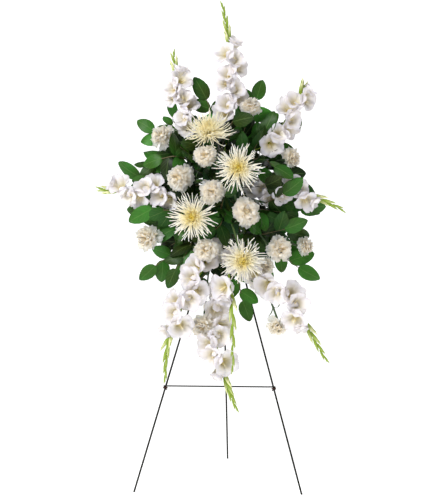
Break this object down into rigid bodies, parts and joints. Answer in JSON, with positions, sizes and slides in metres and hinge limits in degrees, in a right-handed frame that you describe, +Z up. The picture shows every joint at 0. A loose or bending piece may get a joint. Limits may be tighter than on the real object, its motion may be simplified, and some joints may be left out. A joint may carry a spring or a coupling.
{
  "type": "standing funeral arrangement",
  "caption": "Standing funeral spray of cream spider chrysanthemums, carnations and white gladioli with salal leaves, in floral foam clipped to a folding wire easel.",
  "frame": {"origin": "on the floor below the middle of the whole object's box", "axes": "+Z up, -Y towards the viewer that the flowers face, +X to that viewer's right"},
  "size_m": [0.7547, 0.5792, 1.4563],
  "materials": {
    "easel_wire": "dark green-black paint on steel wire, satin",
    "tray_plastic": "moulded, dark green",
    "floral_foam": "wet open-cell foam, matt",
    "flower_stem": "fresh green stem, satin",
    "chrysanthemum_petal": "ivory quilled petals, pale yellow at the centre",
    "carnation_petal": "cream ruffled petals, velvet matt",
    "gladiolus_floret": "white florets, with yellow-green buds and stem",
    "salal_leaf": "leathery green leaves, satin"
  },
  "bodies": {
    "stand": {"carnation_01_bloom": "carnation_petal", "carnation_01_stem": "flower_stem", "carnation_02_bloom": "carnation_petal", "carnation_02_stem": "flower_stem", "carnation_03_bloom": "carnation_petal", "carnation_03_stem": "flower_stem", "carnation_04_bloom": "carnation_petal", "carnation_04_stem": "flower_stem", "carnation_05_bloom": "carnation_petal", "carnation_05_stem": "flower_stem", "carnation_06_bloom": "carnation_petal", "carnation_06_stem": "flower_stem", "carnation_07_bloom": "carnation_petal", "carnation_07_stem": "flower_stem", "carnation_08_bloom": "carnation_petal", "carnation_08_stem": "flower_stem", "carnation_09_bloom": "carnation_petal", "carnation_09_stem": "flower_stem", "carnation_10_bloom": "carnation_petal", "carnation_10_stem": "flower_stem", "carnation_11_bloom": "carnation_petal", "carnation_11_stem": "flower_stem", "carnation_12_bloom": "carnation_petal", "carnation_12_stem": "flower_stem", "carnation_13_bloom": "carnation_petal", "carnation_13_stem": "flower_stem", "carnation_14_bloom": "carnation_petal", "carnation_14_stem": "flower_stem", "easel_crossbar": "easel_wire", "easel_leg_left": "easel_wire", "easel_leg_right": "easel_wire", "floral_foam": "floral_foam", "foam_tray": "tray_plastic", "gladiolus_left": "gladiolus_floret", "gladiolus_low_front": "gladiolus_floret", "gladiolus_low_middle": "gladiolus_floret", "gladiolus_lower_left": "gladiolus_floret", "gladiolus_lower_right": "gladiolus_floret", "gladiolus_right": "gladiolus_floret", "gladiolus_top": "gladiolus_floret", "gladiolus_upper_left": "gladiolus_floret", "gladiolus_upper_right": "gladiolus_floret", "mum_left_bloom": "chrysanthemum_petal", "mum_left_stem": "flower_stem", "mum_lower_bloom": "chrysanthemum_petal", "mum_lower_stem": "flower_stem", "mum_right_bloom": "chrysanthemum_petal", "mum_right_stem": "flower_stem", "mum_upper_bloom": "chrysanthemum_petal", "mum_upper_stem": "flower_stem", "salal_bottom": "salal_leaf", "salal_front": "salal_leaf", "salal_left": "salal_leaf", "salal_lower_left": "salal_leaf", "salal_lower_right": "salal_leaf", "salal_right": "salal_leaf", "salal_top": "salal_leaf", "salal_upper_left": "salal_leaf", "salal_upper_right": "salal_leaf"},
    "rear_leg": {"easel_leg_rear": "easel_wire"}
  },
  "joints": [
    {"name": "rear_leg_fold", "type": "hinge", "parent": "stand", "child": "rear_leg", "pos_m": [0, 0.00863, 0.825], "axis": [-1, 0, 0], "range_deg": [0, 33]}
  ]
}
